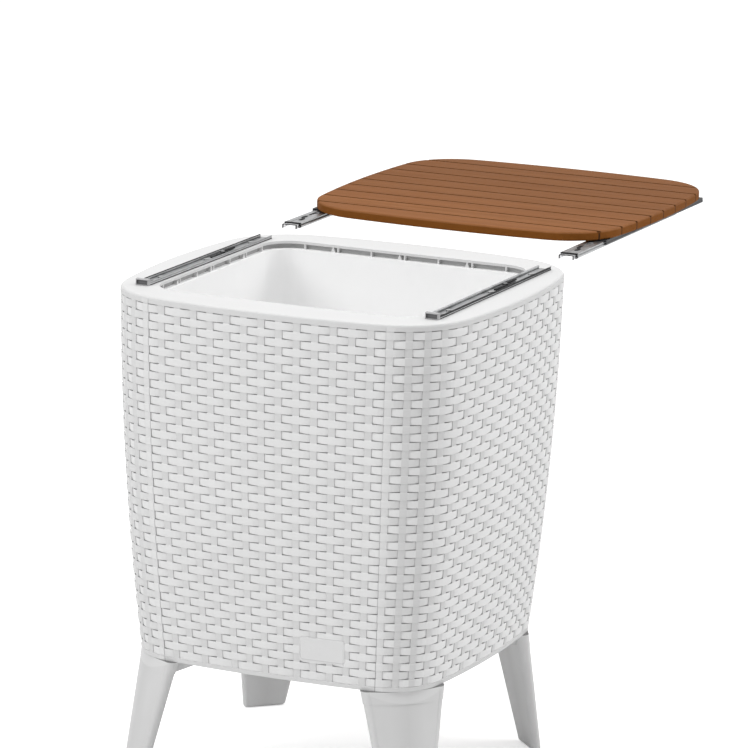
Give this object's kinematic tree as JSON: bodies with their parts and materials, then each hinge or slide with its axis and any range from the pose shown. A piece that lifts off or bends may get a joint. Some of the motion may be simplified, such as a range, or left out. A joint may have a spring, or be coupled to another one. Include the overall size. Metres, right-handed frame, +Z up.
{
  "type": "cooler table",
  "caption": "Square patio cooler tub with woven-look walls on splayed legs and a plank-look table top that slides off on telescopic rails.",
  "frame": {"origin": "on the floor, at the middle of the box round the tub and the drawn-off table top", "axes": "+Z up; +Y along the slides, the way the table top is drawn off; +X to the right seen from the front"},
  "size_m": [0.4898, 0.9968, 0.6597],
  "materials": {
    "white_plastic": "satin",
    "wood_look_plastic": "matte",
    "zinc_steel": "satin",
    "ball_steel": "polished",
    "screw_steel": "satin",
    "black_plastic": "satin",
    "grey_plastic": "satin",
    "drain_plastic": "satin",
    "rubber": "matte",
    "foam": "matte"
  },
  "bodies": {
    "tub": {"rim_frame": "white_plastic", "liner": "white_plastic", "front_panel": "white_plastic", "back_panel": "white_plastic", "left_panel": "white_plastic", "right_panel": "white_plastic", "base_tray": "white_plastic", "leg_front_left": "white_plastic", "leg_front_right": "white_plastic", "leg_back_left": "white_plastic", "leg_back_right": "white_plastic", "insulation_front": "foam", "insulation_back": "foam", "insulation_left": "foam", "insulation_right": "foam", "insulation_base": "foam", "leg_screws": "screw_steel", "fixed_rail_left": "zinc_steel", "fixed_rail_right": "zinc_steel", "fixed_rail_screws": "screw_steel", "rail_stop_left": "grey_plastic", "rail_stop_right": "grey_plastic", "drain_fitting": "drain_plastic", "drain_nut": "drain_plastic", "drain_gasket": "rubber"},
    "top": {"table_top": "wood_look_plastic", "top_rail_left": "zinc_steel", "top_rail_right": "zinc_steel", "top_rail_screws": "screw_steel"},
    "drain_plug": {"drain_plug": "rubber"},
    "middle_slide_left": {"middle_rail_left": "zinc_steel", "middle_catch_left": "black_plastic"},
    "lower_cage_left": {"lower_cage_left": "zinc_steel", "lower_balls_left": "ball_steel"},
    "upper_cage_left": {"upper_cage_left": "zinc_steel", "upper_balls_left": "ball_steel"},
    "release_lever_left": {"release_lever_left": "black_plastic"},
    "middle_slide_right": {"middle_rail_right": "zinc_steel", "middle_catch_right": "black_plastic"},
    "lower_cage_right": {"lower_cage_right": "zinc_steel", "lower_balls_right": "ball_steel"},
    "upper_cage_right": {"upper_cage_right": "zinc_steel", "upper_balls_right": "ball_steel"},
    "release_lever_right": {"release_lever_right": "black_plastic"}
  },
  "joints": [
    {"name": "middle_left_slide", "type": "slide", "parent": "tub", "child": "middle_slide_left", "axis": [0, 1, 0], "range_m": [-0.43, 0]},
    {"name": "middle_right_slide", "type": "slide", "parent": "tub", "child": "middle_slide_right", "axis": [0, 1, 0], "range_m": [-0.43, 0]},
    {"name": "top_slide", "type": "slide", "parent": "middle_slide_left", "child": "top", "axis": [0, 1, 0], "range_m": [-0.099, 0.076]},
    {"name": "lower_cage_left_roll", "type": "slide", "parent": "middle_slide_left", "child": "lower_cage_left", "axis": [0, 1, 0], "range_m": [0, 0.215]},
    {"name": "upper_cage_left_roll", "type": "slide", "parent": "middle_slide_left", "child": "upper_cage_left", "axis": [0, 1, 0], "range_m": [-0.0495, 0.038]},
    {"name": "lower_cage_right_roll", "type": "slide", "parent": "middle_slide_right", "child": "lower_cage_right", "axis": [0, 1, 0], "range_m": [0, 0.215]},
    {"name": "upper_cage_right_roll", "type": "slide", "parent": "middle_slide_right", "child": "upper_cage_right", "axis": [0, 1, 0], "range_m": [-0.0495, 0.038]},
    {"name": "release_lever_left_pivot", "type": "hinge", "parent": "tub", "child": "release_lever_left", "pos_m": [-0.1975, -0.20075, 0.6411], "axis": [0, 0, 1], "range_deg": [-4, 4], "stiffness_Nm_per_rad": 0.02},
    {"name": "release_lever_right_pivot", "type": "hinge", "parent": "tub", "child": "release_lever_right", "pos_m": [0.1975, -0.20075, 0.6411], "axis": [0, 0, 1], "range_deg": [-4, 4], "stiffness_Nm_per_rad": 0.02},
    {"name": "drain_plug_pull", "type": "slide", "parent": "tub", "child": "drain_plug", "axis": [0, 0, -1], "range_m": [0, 0.03]}
  ],
  "couplings": [
    {"joint": "middle_right_slide", "follows": "middle_left_slide", "ratio": 1},
    {"joint": "lower_cage_left_roll", "follows": "middle_left_slide", "ratio": -0.5},
    {"joint": "upper_cage_left_roll", "follows": "top_slide", "ratio": 0.5},
    {"joint": "lower_cage_right_roll", "follows": "middle_left_slide", "ratio": -0.5},
    {"joint": "upper_cage_right_roll", "follows": "top_slide", "ratio": 0.5}
  ]
}
